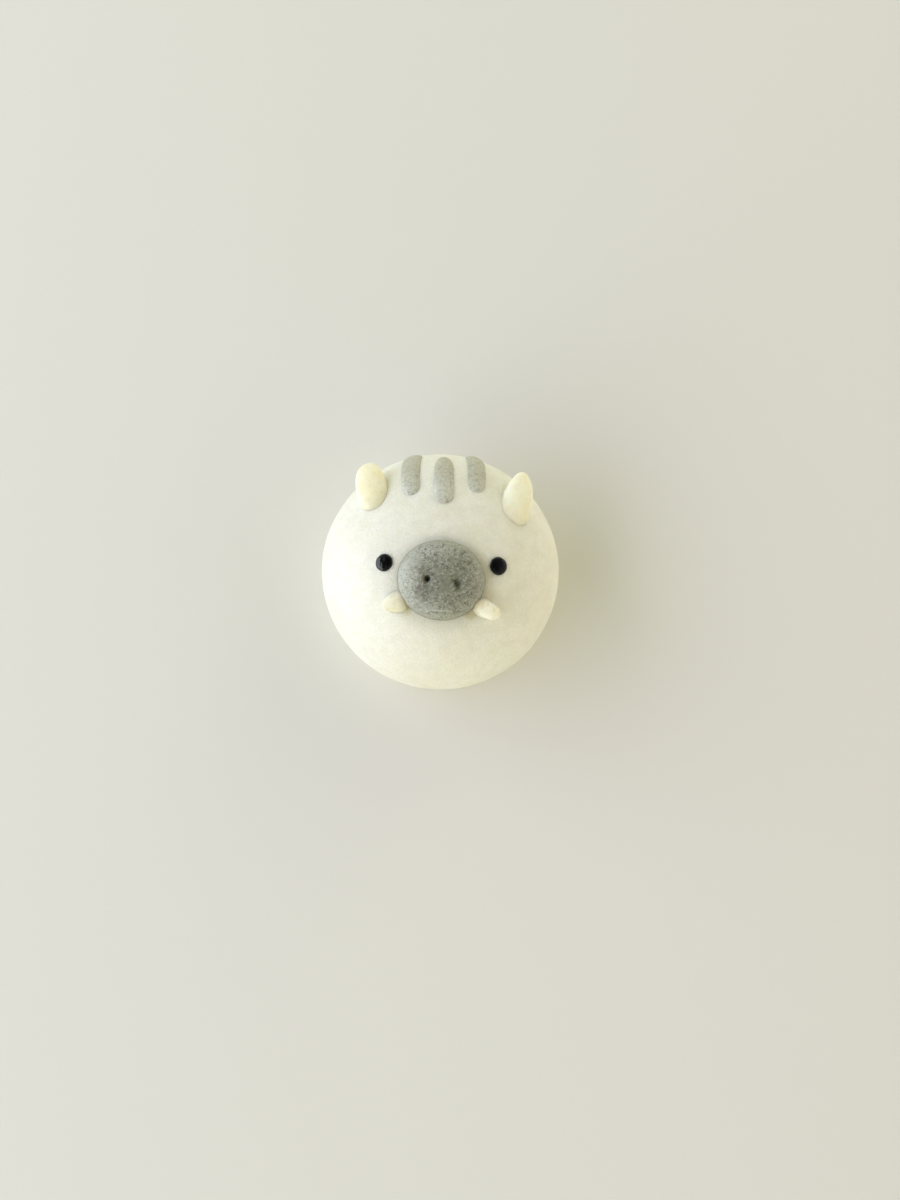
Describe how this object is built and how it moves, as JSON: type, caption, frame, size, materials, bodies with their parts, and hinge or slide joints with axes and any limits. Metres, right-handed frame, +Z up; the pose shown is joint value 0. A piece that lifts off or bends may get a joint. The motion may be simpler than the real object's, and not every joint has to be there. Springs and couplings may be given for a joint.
{
  "type": "boar-shaped manju",
  "caption": "Steamed sweet bun made as a boar's face: a white dome on a flat base, with a grey snout, black eyes, cream ears and tusks, and pale grey stripes on the forehead.",
  "frame": {"origin": "centre of the flat base that the bun rests on", "axes": "+Z up from the base, +Y towards the top of the boar's head, +X towards the viewer's right when the face is seen upright"},
  "size_m": [0.048, 0.048, 0.0326],
  "materials": {
    "white_dough": "smooth satin steamed dough",
    "grey_dough": "matt speckled dough",
    "pale_grey_dough": "matt dough",
    "cream_dough": "smooth satin steamed dough",
    "black_dough": "moist satin dough"
  },
  "bodies": {
    "root": {"bun_body": "white_dough", "snout": "grey_dough", "eye_left": "black_dough", "eye_right": "black_dough", "stripe_left": "pale_grey_dough", "stripe_middle": "pale_grey_dough", "stripe_right": "pale_grey_dough", "ear_left": "cream_dough", "ear_right": "cream_dough", "tusk_left": "cream_dough", "tusk_right": "cream_dough"}
  },
  "joints": []
}
